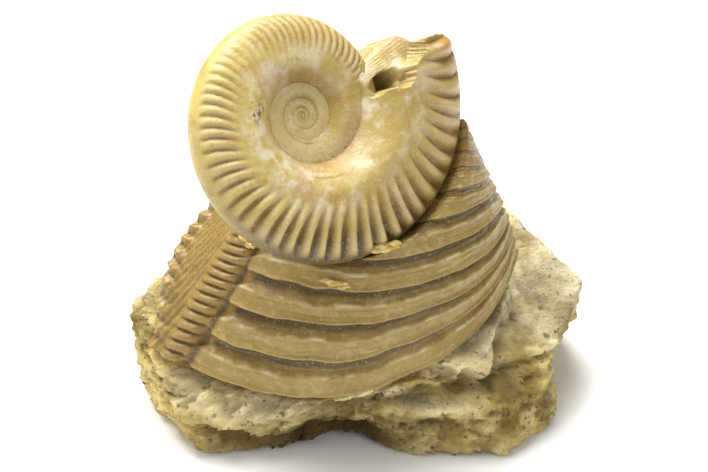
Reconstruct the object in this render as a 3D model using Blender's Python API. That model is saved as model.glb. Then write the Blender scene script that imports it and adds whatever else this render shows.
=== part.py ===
"""A ribbed ammonite lying on the valve of a ribbed clam, both on a chip of limestone.

Metres, +Z up, resting on z = 0. The shells are laid out in a slope frame, in millimetres:
across (along +X), up the slope, and out of the slope towards the front and the sky.
"""

import math

import bmesh
import bpy
import numpy as np
from mathutils import Matrix, Vector
from mathutils.bvhtree import BVHTree

MM = 0.001
SLOPE_LEAN = math.radians(35.0)  # how far the out axis of the slope stands above level
SLOPE_ORIGIN = np.array([0.0, 0.0, 22.9])  # where the slope's zero lies in the object
GAP = 0.3  # left between the stone and each shell
OBJECT_NAME = "ammonite_on_clam"
CENTRING = (-0.65, -0.9, 0.0)  # last move, in mm: puts the middle of the base on the origin

# Ammonite: a flat spiral whose radius multiplies by EXPANSION with each turn.
COIL_CENTRE = np.array([-6.5, 14.95, 18.5])
COIL_TURN_RIGHT = math.radians(27.8)  # the coil's axis leans this far to the right
COIL_TURN_UP = math.radians(4.5)  # and this far up the slope
COIL_RADIUS = 22.2  # at turn angle 0
EXPANSION = 2.11
SEAM_SHARE = 0.3125  # radius of the umbilical seam over the radius of the whorl
COIL_END = 43.0  # degrees at which the broken whorl ends
COIL_TURN = 349.0  # degrees covered by each of the two tubes
RIBS_PER_TURN = 60
RIB_DEPTH = 0.28
RIB_SWEEP = 5.0  # degrees by which a rib leans forward at the rim
# The whorl's section: share of the way from seam to rim, half thickness over radius.
WHORL_SHARE = (0.0, 0.08, 0.36, 0.66, 0.86, 0.96, 1.0)
WHORL_HALF = (0.106, 0.188, 0.238, 0.221, 0.170, 0.096, 0.0)
# What the break took: rings of (turn angle, share), and the heights between.
BREAKS = (
    (((9, 0.10), (12, 0.30), (16, 0.44), (27, 0.47), (31, 0.70), (33, 1.2), (60, 1.2),
      (60, -0.3), (9, -0.3)), 0.05, 0.5),
    (((25, 1.3), (25, 0.98), (31, 0.86), (37, 0.64), (43, 0.5), (60, 0.5), (60, 1.3)),
     -0.5, 0.5),
    (((33, 0.66), (36, 0.2), (38, -0.3), (60, -0.3), (60, 0.8), (38, 0.8)), -0.47, 0.53),
)

# Clam: growth lines of one shape, each smaller and turned further about the hinge.
BEAK = np.array([10.5, 20.5, 0.0])
HINGE_TILT = (1.2, 11.0)  # degrees the valve's plane turns right and up
HINGE_ANGLE = (17.6, 4.1)  # degrees of the hinge line in that plane and out of it
COIL_RATE = 0.82  # growth exponent: size is exp(-rate * turn)
REACH = (42.2, -32.2, -10.0, 8.0, 7.3)  # reach of a growth line, a polynomial
LIFT = (-17.9, -14.0, -2.1, 6.4)  # its height out of the plane, a polynomial
REACH_MIDDLE, REACH_SPAN = 270.0, 60.0  # degrees the two polynomials are centred on, per
CARINA_AT = 225.5  # degrees of the ridge between flank and area
RIB_FIRST, RIB_RATIO = 0.818, 0.904  # size of the outermost rib, ratio of each next
VALVE_SMALLEST = 0.12
VALVE_OUT, VALVE_CANT = 2.0, 0.12  # the whole valve: out of the slope, and per mm across
VALVE_WALL = 2.0
RIB_STEP = 0.7


def slope_to_object(points):
    """Slope points (..., 3) in mm to object points in mm."""
    across, up, out = np.moveaxis(np.asarray(points, float), -1, 0)
    c, s = math.cos(SLOPE_LEAN), math.sin(SLOPE_LEAN)
    return np.stack([across, up * s - out * c, up * c + out * s], -1) + SLOPE_ORIGIN


def plane_axes(right, up):
    """Unit axes (across, along, out) of a plane turned right and up by two angles."""
    out = np.array([math.tan(right), math.tan(up), 1.0])
    out /= np.linalg.norm(out)
    across = np.cross([0.0, 1.0, 0.0], out)
    across /= np.linalg.norm(across)
    return across, np.cross(out, across), out


def clear_scene():
    """Remove everything that the scene starts with."""
    for obj in list(bpy.data.objects):
        bpy.data.objects.remove(obj, do_unlink=True)
    for mesh in list(bpy.data.meshes):
        bpy.data.meshes.remove(mesh)


def new_collection(name, helpers=False):
    """A collection under the scene; helpers are left out of renders."""
    made = bpy.data.collections.new(name)
    bpy.context.scene.collection.children.link(made)
    made.hide_render = helpers
    return made


def link_mesh(name, points_mm, faces, home):
    """An object from millimetre points and faces, its normals turned outwards."""
    mesh = bpy.data.meshes.new(name)
    mesh.from_pydata((np.asarray(points_mm) * MM).tolist(), [], faces)
    work = bmesh.new()
    work.from_mesh(mesh)
    bmesh.ops.recalc_face_normals(work, faces=work.faces[:])
    bmesh.ops.triangulate(work, faces=[f for f in work.faces if len(f.verts) > 4])
    work.to_mesh(mesh)
    work.free()
    mesh.shade_smooth()
    obj = bpy.data.objects.new(name, mesh)
    home.objects.link(obj)
    return obj


def apply_boolean(obj, other, operation):
    """Join or cut obj with other and keep the result in obj's own mesh."""
    step = obj.modifiers.new(operation.title(), "BOOLEAN")
    step.operation, step.solver, step.object = operation, "EXACT", other
    graph = bpy.context.evaluated_depsgraph_get()
    made = bpy.data.meshes.new_from_object(obj.evaluated_get(graph))
    obj.modifiers.remove(step)
    obj.data = made
    obj.data.shade_smooth()


def keep_largest(obj):
    """Delete the crumbs that a cut leaves beside the main body."""
    work = bmesh.new()
    work.from_mesh(obj.data)
    left, bodies = set(work.verts), []
    while left:
        edge = [left.pop()]
        body = set(edge)
        while edge:
            near = {e.other_vert(v) for v in edge for e in v.link_edges} - body
            body |= near
            edge = list(near)
        left -= body
        bodies.append(body)
    bodies.sort(key=len)
    for body in bodies[:-1]:
        bmesh.ops.delete(work, geom=list(body), context="VERTS")
    work.to_mesh(obj.data)
    work.free()


def give_material(obj, name, colour, roughness):
    """One Principled material on the whole object."""
    material = bpy.data.materials.new(name)
    material.use_nodes = True
    shader = material.node_tree.nodes["Principled BSDF"]
    shader.inputs["Base Color"].default_value = (*colour, 1.0)
    shader.inputs["Roughness"].default_value = roughness
    shader.inputs["Metallic"].default_value = 0.0
    obj.data.materials.clear()
    obj.data.materials.append(material)
    for face in obj.data.polygons:
        face.material_index = 0


def helper(obj):
    """Mark an object as a cutter or a piece joined into another."""
    obj.hide_render = True
    obj.display_type = "WIRE"
    return obj


def grid_faces(rows, columns, wrap=False):
    """Quads of a rows x columns grid of points; wrap joins the last column to the first."""
    last = columns if wrap else columns - 1
    return [
        (i * columns + j, i * columns + (j + 1) % columns,
         (i + 1) * columns + (j + 1) % columns, (i + 1) * columns + j)
        for i in range(rows - 1) for j in range(last)
    ]


# ---------------------------------------------------------------- ammonite


def coil_radius(turn):
    """Radius of the rim, in mm, at a turn angle in degrees."""
    return COIL_RADIUS * EXPANSION ** (np.asarray(turn, float) / 360.0)


def coil_point(turn, radius, height):
    """Object point at a turn angle, a distance from the axis, and a height along it."""
    across, along, out = plane_axes(COIL_TURN_RIGHT, COIL_TURN_UP)
    angle = np.radians(turn)[..., None]
    flat = radius[..., None] * (np.cos(angle) * across + np.sin(angle) * along)
    return slope_to_object(COIL_CENTRE + flat + height[..., None] * out)


def whorl_tube(name, start, end, steps, home, ribs=RIB_DEPTH, scale=1.0, swell=0.0):
    """A whorl from start to end degrees: near side, rim, far side, and a flat inner wall.
    swell in mm makes it larger all round, for a cutter."""
    share = np.array(WHORL_SHARE + WHORL_SHARE[-2::-1])
    half = np.array(WHORL_HALF + tuple(-h for h in WHORL_HALF[-2::-1]))
    turn = np.linspace(start, end, steps)[:, None]
    rim = coil_radius(turn) * scale
    wave = np.where(np.arange(steps) % 2, 1.0, -1.0)[:, None]
    outer = np.clip((share - 0.45) / 0.35, 0.0, 1.0) * (np.abs(half) > 0.05)
    height = half * rim + np.sign(half) * (ribs * wave * outer + swell)
    radius = rim * (SEAM_SHARE + (1.0 - SEAM_SHARE) * share) + swell * (2.0 * share - 1.0)
    forward = RIB_SWEEP * np.clip((share - 0.45) / 0.55, 0.0, 1.0) ** 2
    points = coil_point(turn + forward, radius, height)
    columns = len(share)
    faces = grid_faces(steps, columns, wrap=True)
    faces += [tuple(range(columns)), tuple(range((steps - 1) * columns, steps * columns))]
    return link_mesh(name, points.reshape(-1, 3), faces, home)


def ball(name, centre_mm, radii_mm, turn, home, rings=8):
    """An ellipsoid at an object point, its own axes turned about the coil's axis."""
    bpy.ops.mesh.primitive_uv_sphere_add(segments=2 * rings, ring_count=rings, radius=1.0)
    obj = bpy.context.object
    obj.name = name
    across, along, out = plane_axes(COIL_TURN_RIGHT, COIL_TURN_UP)
    angle = math.radians(turn)
    radial = math.cos(angle) * across + math.sin(angle) * along
    axes = (radial, np.cross(out, radial), out)
    zero = slope_to_object(np.zeros(3))
    world = [slope_to_object(a) - zero for a in axes]
    local = np.array([v.co[:] for v in obj.data.vertices])
    moved = centre_mm + sum(local[:, i:i + 1] * radii_mm[i] * world[i] for i in range(3))
    obj.data.vertices.foreach_set("co", (moved * MM).ravel())
    for old in obj.users_collection:
        old.objects.unlink(obj)
    home.objects.link(obj)
    return obj


def coil_spot(turn, share, height_share):
    """Object point inside the whorl, by its share from seam to rim and of the radius."""
    rim = coil_radius(turn)
    radius = rim * (SEAM_SHARE + (1.0 - SEAM_SHARE) * share)
    return coil_point(np.array(turn), np.array(radius), np.array(height_share * rim))


def slab_cutter(name, outline, low, high, home):
    """A slab across the whorl: outline is a ring of (turn angle, share from seam to rim),
    low and high are its two heights as shares of the radius."""
    turn, share = np.array(outline).T
    rim = coil_radius(turn)
    radius = rim * (SEAM_SHARE + (1.0 - SEAM_SHARE) * share)
    points = np.concatenate([coil_point(turn, radius, h * rim) for h in (low, high)])
    n = len(outline)
    faces = [tuple(range(n)), tuple(range(n, 2 * n))]
    faces += [(i, (i + 1) % n, n + (i + 1) % n, n + i) for i in range(n)]
    return helper(link_mesh(name, points, faces, home))


def build_ammonite(home, cutters):
    """Outer whorl with its broken end, joined to the inner whorl and the middle."""
    steps = round(RIBS_PER_TURN * 2 * COIL_TURN / 360.0)
    start = COIL_END - COIL_TURN
    shell = whorl_tube("ammonite_shell", start, COIL_END, steps, home)
    for i, (outline, low, high) in enumerate(BREAKS):
        apply_boolean(shell, slab_cutter(f"break_cut_{i}", outline, low, high, cutters),
                      "DIFFERENCE")
    start += 5.0
    inner = whorl_tube("inner_whorl", start - COIL_TURN, start, 49, cutters, 0.0, 0.985)
    middle = ball("coil_middle", slope_to_object(COIL_CENTRE), (3.6, 3.6, 0.9), 0.0, cutters)
    for piece in (inner, middle):
        apply_boolean(shell, helper(piece), "UNION")
    pocket = ball("pocket_cut", coil_spot(23.0, 0.36, 0.05), (2.1, 2.3, 3.1), 26.0, cutters)
    apply_boolean(shell, helper(pocket), "DIFFERENCE")
    return shell


def coil_clearance(cutters):
    """The space that the ammonite needs: its whorl and middle, made larger by the gap."""
    space = whorl_tube("coil_space", COIL_END - COIL_TURN, COIL_END, 61, cutters, 0.0,
                       swell=RIB_DEPTH + GAP)
    middle = ball("coil_space_middle", slope_to_object(COIL_CENTRE), (10.5, 10.5, 3.4), 0.0,
                  cutters)
    apply_boolean(space, helper(middle), "UNION")
    return helper(space)


# ---------------------------------------------------------------- clam valve


def growth_point(size, at):
    """Slope point of the growth line of this size, at this angle in degrees."""
    across, along, out = plane_axes(*map(math.radians, HINGE_TILT))
    angle = np.radians(at)
    t = (at - REACH_MIDDLE) / REACH_SPAN
    reach = sum(c * t**i for i, c in enumerate(REACH))
    lift = sum(c * t**i for i, c in enumerate(LIFT))
    line = (reach * np.cos(angle))[..., None] * across
    line = line + (reach * np.sin(angle))[..., None] * along + lift[..., None] * out
    flat, rise = map(math.radians, HINGE_ANGLE)
    hinge = math.cos(rise) * (math.cos(flat) * across + math.sin(flat) * along)
    hinge = hinge + math.sin(rise) * out
    turned = (-np.log(size) / COIL_RATE)[..., None]
    along_hinge = (line @ hinge)[..., None] * hinge
    away = line - along_hinge
    spun = np.cos(turned) * away - np.sin(turned) * np.cross(hinge, away)
    point = BEAK + size[..., None] * (along_hinge + spun)
    point[..., 2] += VALVE_OUT + VALVE_CANT * point[..., 0]
    return point


def surface_normals(points):
    """Unit normals of a grid of points, by differences along its rows and columns."""
    normal = np.cross(np.gradient(points, axis=0), np.gradient(points, axis=1))
    return normal / np.linalg.norm(normal, axis=-1, keepdims=True)


def rib_height(size, at):
    """Height of the ribs over the shell, in mm: a shelf that ends in a lip."""
    phase = np.log(size / RIB_FIRST) / np.log(RIB_RATIO)  # 0 at the first lip, 1 at the next
    saw = 1.0 - np.mod(phase, 1.0)
    flank = np.clip((at - CARINA_AT - 4.0) / 4.0, 0.0, 1.0)
    keel = np.exp(-(((at - CARINA_AT) / 2.6) ** 2))
    return RIB_STEP * size * saw**1.5 * flank * (phase >= 0) + 1.2 * size * keel


def area_edge(size):
    """Degrees at which the growth line of this size ends behind the carina."""
    return 205.0 + 16.5 * np.clip((size - 0.42) / 0.386, 0.0, 1.0) ** 1.4


def front_edge(size):
    """Degrees at which the growth line of this size ends at the front of the valve."""
    return 310.0 - 10.0 * np.clip((size - 0.5) / 0.32, 0.0, 1.0)


def valve_sizes(count):
    """Sizes from the margin to the beak: three to a rib, the lip itself among them."""
    lips = RIB_FIRST * RIB_RATIO ** np.arange(count)
    steps = np.concatenate([lips * RIB_RATIO**f for f in (0.001, 0.45, 0.9)])
    sizes = np.concatenate([[RIB_FIRST * 1.02, RIB_FIRST * 1.002], steps])
    small = np.linspace(0.24, VALVE_SMALLEST, 4)
    return np.sort(np.concatenate([sizes, small]))[::-1]


def build_valve(name, home, swell=0.0):
    """The valve: the ribbed outside, a smooth inside VALVE_WALL further in, and an edge.
    swell in mm makes it larger all round, for a cutter."""
    sizes = valve_sizes(11)
    sizes[0] *= 1.0 + swell / 30.0
    size, part = np.meshgrid(sizes, np.linspace(0.0, 1.0, 24), indexing="ij")
    first = area_edge(size) - 2.0 * swell
    ridge, last = CARINA_AT - 2.5, front_edge(size) + 2.0 * swell
    at = np.where(part < 0.2, first + (ridge - first) * part / 0.2, 0.0)
    at = np.where(part >= 0.2, ridge + 7.0 * (part - 0.2) / 0.16, at)
    at = np.where(part > 0.36, ridge + 7.0 + (last - ridge - 7.0) * (part - 0.36) / 0.64, at)
    shell = growth_point(size, at)
    normal = surface_normals(shell)
    normal *= np.sign(normal[..., 2:].sum())
    outside = shell + (rib_height(size, at) + swell)[..., None] * normal
    inside = shell - (VALVE_WALL * (0.3 + 0.7 * size) + swell)[..., None] * normal
    rows, columns = size.shape
    points = np.concatenate([outside.reshape(-1, 3), inside.reshape(-1, 3)])
    faces = grid_faces(rows, columns)
    count = rows * columns
    faces += [tuple(count + i for i in reversed(face)) for face in faces]
    ring = [(0, j) for j in range(columns)] + [(i, columns - 1) for i in range(1, rows)]
    ring += [(rows - 1, j) for j in range(columns - 2, -1, -1)]
    ring += [(i, 0) for i in range(rows - 2, 0, -1)]
    ids = [i * columns + j for i, j in ring]
    faces += [(a, b, count + b, count + a) for a, b in zip(ids, ids[1:] + ids[:1])]
    return link_mesh(name, slope_to_object(points), faces, home)


# ---------------------------------------------------------------- limestone

STONE_HEART = np.array([0.5, -1.0, 7.0])  # every face of the stone is seen from here
# Faces of the stone: (azimuth, elevation) of the face in degrees, and a point on it in mm.
LOWER_BLOCK = (
    ((-90, -90), (0.0, 0.0, 0.0)),
    ((-90, 12), (0.0, -18.6, 0.0)),
    ((-47, 6), (23.0, -15.2, 0.0)),
    ((-3, 4), (26.8, -6.0, 5.0)),
    ((45, 8), (25.0, 8.0, 4.0)),
    ((92, 3), (0.0, 18.0, 6.0)),
    ((140, 10), (-20.0, 12.0, 6.0)),
    ((184, -2), (-29.4, 0.0, 6.0)),
    ((209, -14), (-24.2, -10.8, 0.0)),
    ((-85, 80), (0.0, -10.0, 10.0)),
)
UPPER_SLAB = (
    ((-62, -66), (20.0, -11.0, 10.0)),
    ((-74, 5), (9.0, -14.6, 9.5)),
    ((-106, 8), (-14.0, -16.4, 8.0)),
    ((-45, -10), (27.6, -7.5, 12.0)),
    ((-15, -14), (30.6, 0.0, 12.0)),
    ((36, 8), (27.0, 10.0, 14.0)),
    ((92, 3), (0.0, 18.5, 14.0)),
    ((140, 10), (-20.0, 12.0, 10.0)),
    ((184, -3), (-30.0, 0.0, 12.0)),
    ((208, -8), (-27.0, -9.5, 9.0)),
    ((-80, 78), (20.0, 0.0, 13.3)),
)
CORE = (
    ((-90, -90), (0.0, 0.0, 0.0)),
    ((-90, 10), (0.0, -15.0, 8.0)),
    ((209, 0), (-24.0, -9.0, 8.0)),
    ((184, 0), (-26.0, 0.0, 10.0)),
    ((-20, 4), (22.0, -3.0, 8.0)),
    ((80, 52), (-3.0, 3.0, 38.0)),
    ((158, 30), (-19.0, 0.0, 22.0)),
    ((130, 25), (-12.0, 12.0, 22.0)),
    ((90, 12), (0.0, 17.0, 20.0)),
    ((14, 16), (18.6, 2.0, 22.0)),
)


def facing(azimuth, elevation):
    """Unit vector with this azimuth from +X and this elevation, in degrees."""
    a, e = math.radians(azimuth), math.radians(elevation)
    return np.array([math.cos(a) * math.cos(e), math.sin(a) * math.cos(e), math.sin(e)])


def slab_reach(directions, slab, softness):
    """Distance from the heart to a block's faces along unit directions: the nearest face
    wins, and softness in mm rounds the arris between two faces."""
    total = 0.0
    for (azimuth, elevation), point in slab:
        normal = facing(azimuth, elevation)
        depth = normal @ (np.array(point) - STONE_HEART)
        reach = depth / np.maximum(directions @ normal, 1e-3)
        total = total + np.exp(-np.minimum(reach, 90.0) / softness)
    return -softness * np.log(total)


def cave(points):
    """Depth in mm of the hollow under the middle of the front."""
    centre, size = np.array([-0.5, -18.0, 2.5]), np.array([8.0, 8.0, 3.6])
    return 3.6 * np.exp(-(((points - centre) / size) ** 2).sum(1))


def rubble(points):
    """Uneven stone in mm, from sums of sines at four sizes."""
    total = 0.0
    for k, (size, height) in enumerate(((13.0, 0.45), (7.0, 0.32), (4.1, 0.24), (2.6, 0.16))):
        p = points / size * 2 * math.pi
        turn = np.array([1.7, 0.6, 2.9]) * (k + 1)
        bend = np.sin(p[:, [1, 2, 0]] * 0.7 + turn)
        total = total + height * np.prod(np.sin(p + 1.3 * bend + turn[::-1]), axis=1) * 2.0
    return total


def stone_reach(rays, valve):
    """How far the stone goes along each ray: the furthest of its blocks, but where the
    valve stands over it no further than halfway into the valve's wall."""
    blocks = [slab_reach(rays, slab, 0.4) for slab in (LOWER_BLOCK, UPPER_SLAB, CORE)]
    reach = 0.3 * np.log(sum(np.exp(block / 0.3) for block in blocks))
    tree = BVHTree.FromObject(valve, bpy.context.evaluated_depsgraph_get())
    heart = Vector(STONE_HEART * MM)
    hits = [tree.ray_cast(heart, Vector(ray))[3] for ray in rays]
    roof = np.array([math.inf if hit is None else hit / MM for hit in hits])
    return np.minimum(reach, roof + VALVE_WALL / 2)


def build_stone(home, valve):
    """An icosphere pulled out to the faces of the stone and roughened."""
    bpy.ops.mesh.primitive_ico_sphere_add(subdivisions=5, radius=1.0)
    stone = bpy.context.object
    stone.name = "limestone_matrix"
    rays = np.array([v.co[:] for v in stone.data.vertices])
    rays /= np.linalg.norm(rays, axis=1, keepdims=True)
    points = STONE_HEART + rays * stone_reach(rays, valve)[:, None]
    rough = rays * (rubble(points) - cave(points))[:, None]
    rough[:, 2] *= np.clip(points[:, 2] / 3.0, 0.0, 1.0)
    points = points + rough
    points[:, 2] = np.where(points[:, 2] < 0.15, 0.0, points[:, 2])
    stone.data.vertices.foreach_set("co", (points * MM).ravel())
    for old in stone.users_collection:
        old.objects.unlink(stone)
    home.objects.link(stone)
    return stone


def main():
    """Build the three pieces."""
    clear_scene()
    bpy.context.scene.unit_settings.system = "METRIC"
    home = new_collection(OBJECT_NAME)
    cutters = new_collection("cutters", helpers=True)
    shell = build_ammonite(home, cutters)
    valve = build_valve("trigonia_valve", home)
    stone = build_stone(home, valve)
    coil_space = coil_clearance(cutters)
    valve_space = helper(build_valve("valve_space", cutters, swell=GAP))
    apply_boolean(valve, coil_space, "DIFFERENCE")
    for space in (valve_space, coil_space):
        apply_boolean(stone, space, "DIFFERENCE")
    keep_largest(stone)
    keep_largest(valve)
    give_material(shell, "ammonite_calcite", (0.48, 0.35, 0.19), 0.45)
    give_material(valve, "clam_calcite", (0.33, 0.23, 0.12), 0.42)
    give_material(stone, "limestone", (0.60, 0.48, 0.29), 0.9)
    for piece in home.objects:
        piece.data.transform(Matrix.Translation(Vector(CENTRING) * MM))


main()
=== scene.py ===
# %% [markdown]
# # A ribbed ammonite lying on a clam valve, on a chip of limestone
#
# A coiled ammonite and one valve of a ribbed clam were buried together in lime mud, which
# hardened into limestone. Someone then cleaned the stone away from the two shells.
#
# Each shell grew by a simple rule, and a rule can be written as a formula. So each piece is
# a surface of two numbers, worked out with numpy, and the stone is a few broken faces
# roughened with noise.

# %% Load the measured frame
import math

import bmesh
import bpy
import numpy as np
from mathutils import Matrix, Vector


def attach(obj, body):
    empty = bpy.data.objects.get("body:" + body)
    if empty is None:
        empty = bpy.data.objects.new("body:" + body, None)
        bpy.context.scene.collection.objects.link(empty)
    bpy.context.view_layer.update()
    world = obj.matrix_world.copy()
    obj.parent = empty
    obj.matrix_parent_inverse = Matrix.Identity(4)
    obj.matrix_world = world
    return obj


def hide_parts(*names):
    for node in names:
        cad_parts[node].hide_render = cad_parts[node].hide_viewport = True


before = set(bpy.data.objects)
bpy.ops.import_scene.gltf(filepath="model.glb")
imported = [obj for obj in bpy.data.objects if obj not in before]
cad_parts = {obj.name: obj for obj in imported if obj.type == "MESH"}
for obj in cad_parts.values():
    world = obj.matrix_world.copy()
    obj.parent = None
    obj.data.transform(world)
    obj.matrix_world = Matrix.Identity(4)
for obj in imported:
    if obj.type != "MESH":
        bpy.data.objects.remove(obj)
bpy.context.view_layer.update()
print("solid nodes:", ", ".join(sorted(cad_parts)))

# %% [markdown]
# ## The slope
#
# The shells lie on the front of the stone as on a steep slope. They are laid out in a slope
# frame, in millimetres: across, up the slope, and out of it. One function turns slope
# points into object points.

# %% Slope frame
MM = 0.001
SLOPE_LEAN = math.radians(35.0)  # how far the out axis stands above level
SLOPE_ORIGIN = np.array([0.0, 0.0, 22.9])
CENTRING = np.array([-0.65, -0.9, 0.0])  # puts the middle of the base on the origin


def slope_to_object(points):
    """Turn (across, up, out) about the X axis by the lean, then add the slope's origin."""
    across, up, out = np.moveaxis(np.asarray(points, float), -1, 0)
    c, s = math.cos(SLOPE_LEAN), math.sin(SLOPE_LEAN)
    return np.stack([across, up * s - out * c, up * c + out * s], -1) + SLOPE_ORIGIN


def plane_axes(right, up):
    """Unit axes (across, along, out) of a plane turned right and up by two angles."""
    out = np.array([math.tan(right), math.tan(up), 1.0])
    out /= np.linalg.norm(out)
    across = np.cross([0.0, 1.0, 0.0], out)
    across /= np.linalg.norm(across)
    return across, np.cross(out, across), out


print("slope zero is at", slope_to_object(np.zeros(3)) + CENTRING, "mm")

# %% [markdown]
# ## Meshes from arrays
#
# A surface on a grid of rows and columns needs no list of faces by hand: the corner numbers
# of its quads come from one array. Each mesh also carries a few numbers per point, such as
# how deep it lies in a groove, which the materials read later as attributes.

# %% Grids to meshes


def grid_quads(ids):
    """Quads between neighbouring rows and columns of an array of point numbers."""
    return np.stack([ids[:-1, :-1], ids[:-1, 1:], ids[1:, 1:], ids[1:, :-1]], -1).reshape(-1, 4)


def facing(azimuth, elevation):
    """Unit vectors with these azimuths from +X and these elevations, in degrees."""
    a, e = np.radians(azimuth), np.radians(elevation)
    return np.stack([np.cos(a) * np.cos(e), np.sin(a) * np.cos(e), np.sin(e)], -1)


def globe_grid(rows, columns):
    """Unit vectors from pole to pole and once round, the last column on the first."""
    elevation, azimuth = np.meshgrid(np.linspace(-90.0, 90.0, rows),
                                     np.linspace(0.0, 360.0, columns + 1), indexing="ij")
    globe = facing(azimuth, elevation)
    globe[:, -1] = globe[:, 0]
    return globe


def add_object(name, data):
    """A new object of this name that shows the data, in the scene."""
    made = bpy.data.objects.new(name, data)
    bpy.context.scene.collection.objects.link(made)
    return made


def numbered(grid, start=0):
    """The point numbers of a grid of points, from a start."""
    return start + np.arange(grid[..., 0].size).reshape(grid.shape[:-1])


def fan(ring, tip):
    """Triangles from a closed ring of point numbers to one tip, as quads that repeat it."""
    end = np.full(len(ring) - 1, tip)
    return np.stack([ring[:-1], ring[1:], end, end], -1)


def mesh_piece(name, grids, quads, marks):
    """A closed, outward-facing, smooth mesh of these grids of points and lists of quads.
    Marks is attribute name to values for the first points, and 0 for the rest."""
    mesh = bpy.data.meshes.new(name)
    points_mm = np.concatenate([grid.reshape(-1, 3) for grid in grids])
    quads = np.concatenate(quads)
    folded = quads[:, 2] == quads[:, 3]  # a quad that repeats its last corner
    faces = quads[~folded].tolist() + quads[folded][:, :3].tolist()
    mesh.from_pydata(((points_mm + CENTRING) * MM).tolist(), [], faces)
    for mark, values in marks.items():
        padded = np.zeros(len(points_mm), np.float32)
        padded[:values.size] = values.ravel()
        mesh.attributes.new(mark, "FLOAT", "POINT").data.foreach_set("value", padded)
    work = bmesh.new()
    work.from_mesh(mesh)
    bmesh.ops.remove_doubles(work, verts=work.verts[:], dist=1e-6)
    bmesh.ops.dissolve_degenerate(work, edges=work.edges[:], dist=1e-7)
    bmesh.ops.recalc_face_normals(work, faces=work.faces[:])
    work.to_mesh(mesh)
    work.free()
    mesh.shade_smooth()
    piece = add_object(name, mesh)
    open_edges = len(mesh.edges) * 2 - sum(len(p.vertices) for p in mesh.polygons)
    print(f"{name}: {len(mesh.vertices)} points, {len(mesh.polygons)} faces,"
          f" {open_edges} open edges")
    return piece


def surface_normals(points):
    """Unit normals of a grid of points, by differences along its rows and columns."""
    normal = np.cross(np.gradient(points, axis=0), np.gradient(points, axis=1))
    return normal / np.maximum(np.linalg.norm(normal, axis=-1, keepdims=True), 1e-9)


def ease(value, low, high):
    """0 below low, 1 above high, and a smooth S between."""
    t = np.clip((value - low) / (high - low), 0.0, 1.0)
    return t * t * (3.0 - 2.0 * t)


def bell(value, centre, width):
    """A Gaussian: 1 at the centre, falling off over the width on both sides."""
    return np.exp(-(((value - centre) / width) ** 2))


print("quads in a 3 by 4 grid:", len(grid_quads(numbered(np.zeros((3, 4, 3))))))

# %% [markdown]
# ## Noise
#
# Broken stone and worn shell are uneven at every size. One noise mixes random numbers at the
# corners of cubes, for lumps. The other measures the distance to scattered points, for pits.

# %% Lumps and pits


def cell_random(cells, seed):
    """A repeatable number from 0 to 1 for each whole-number cell: its three counts times
    three primes, mixed bit by bit."""
    x, y, z = (cells[..., i].astype(np.uint32) for i in range(3))
    salt = np.uint32(seed * 2654435761 % 2**32)
    mix = x * np.uint32(73856093) ^ y * np.uint32(19349663) ^ z * np.uint32(83492791) ^ salt
    mix = (mix ^ (mix >> np.uint32(13))) * np.uint32(1274126177)
    mix = (mix ^ (mix >> np.uint32(15))) * np.uint32(668265263)
    return ((mix ^ (mix >> np.uint32(16))) & np.uint32(0xFFFFFF)) / float(0xFFFFFF)


def lumps(points, size, seed):
    """Smooth noise from -1 to 1: the cell corners' random numbers, mixed by nearness."""
    scaled = points / size
    cells = np.floor(scaled).astype(np.int64)
    near = scaled - cells
    near = near * near * (3.0 - 2.0 * near)
    total = 0.0
    for corner in np.ndindex(2, 2, 2):
        share = np.prod(np.where(corner, near, 1.0 - near), axis=-1)
        total = total + share * cell_random(cells + np.array(corner), seed)
    return 2.0 * total - 1.0


def rough(points, size, octaves, seed):
    """Sum of lumps, each octave half as large and a little over half as high."""
    return sum(0.55**k * lumps(points, size / 2**k, seed + k) for k in range(octaves))


def scattered(scaled, seed):
    """For each of the 27 cells round every point: the cell, and the arm to the point from
    the centre scattered in it."""
    cells = np.floor(scaled).astype(np.int64)
    for step in np.ndindex(3, 3, 3):
        cell = cells + np.array(step) - 1
        centre = cell + np.stack([cell_random(cell, seed + k) for k in (1, 2, 3)], -1)
        yield cell, scaled - centre


def pits(points, size, share, seed):
    """0 to 1: round hollows about scattered points, one in each cell, in a share of the
    cells. The radius of each is its own random number times the cell's size."""
    deepest = np.zeros(points.shape[:-1])
    for cell, arm in scattered(points / size, seed):
        radius = 0.15 + 0.3 * cell_random(cell, seed + 4)
        there = cell_random(cell, seed + 5) < share
        gap = np.linalg.norm(arm, axis=-1) / radius
        deepest = np.maximum(deepest, np.where(there, 1.0 - gap, 0.0))
    return ease(deepest, 0.0, 0.7)


print("noise at the origin:", float(rough(np.zeros(3), 5.0, 4, 1)))

# %% [markdown]
# ## The ammonite's coil
#
# An ammonite adds shell at its open end, always a little more at a time, so the tube is a
# logarithmic spiral: every full turn multiplies its size by the same number. A Screw
# modifier can't grow its profile, so one cross section is carried round the axis and scaled
# as it goes.

# %% Spiral and section
COIL_CENTRE = np.array([-6.5, 14.95, 18.5])
COIL_AXES = plane_axes(math.radians(27.8), math.radians(4.5))
COIL_RADIUS = 22.2  # mm from the axis to the rim at turn 0
EXPANSION = 2.11  # growth of the radius in one turn
SEAM_SHARE = 0.292  # where the whorl meets the one inside it, over its radius
THICKEST, HALF_THICK = 0.36, 0.238  # share of the thickest place, and its half thickness


def rim_radius(turn):
    """Rim radius in mm at a turn angle in degrees: the start radius times growth."""
    return COIL_RADIUS * EXPANSION ** (turn / 360.0)


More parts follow.
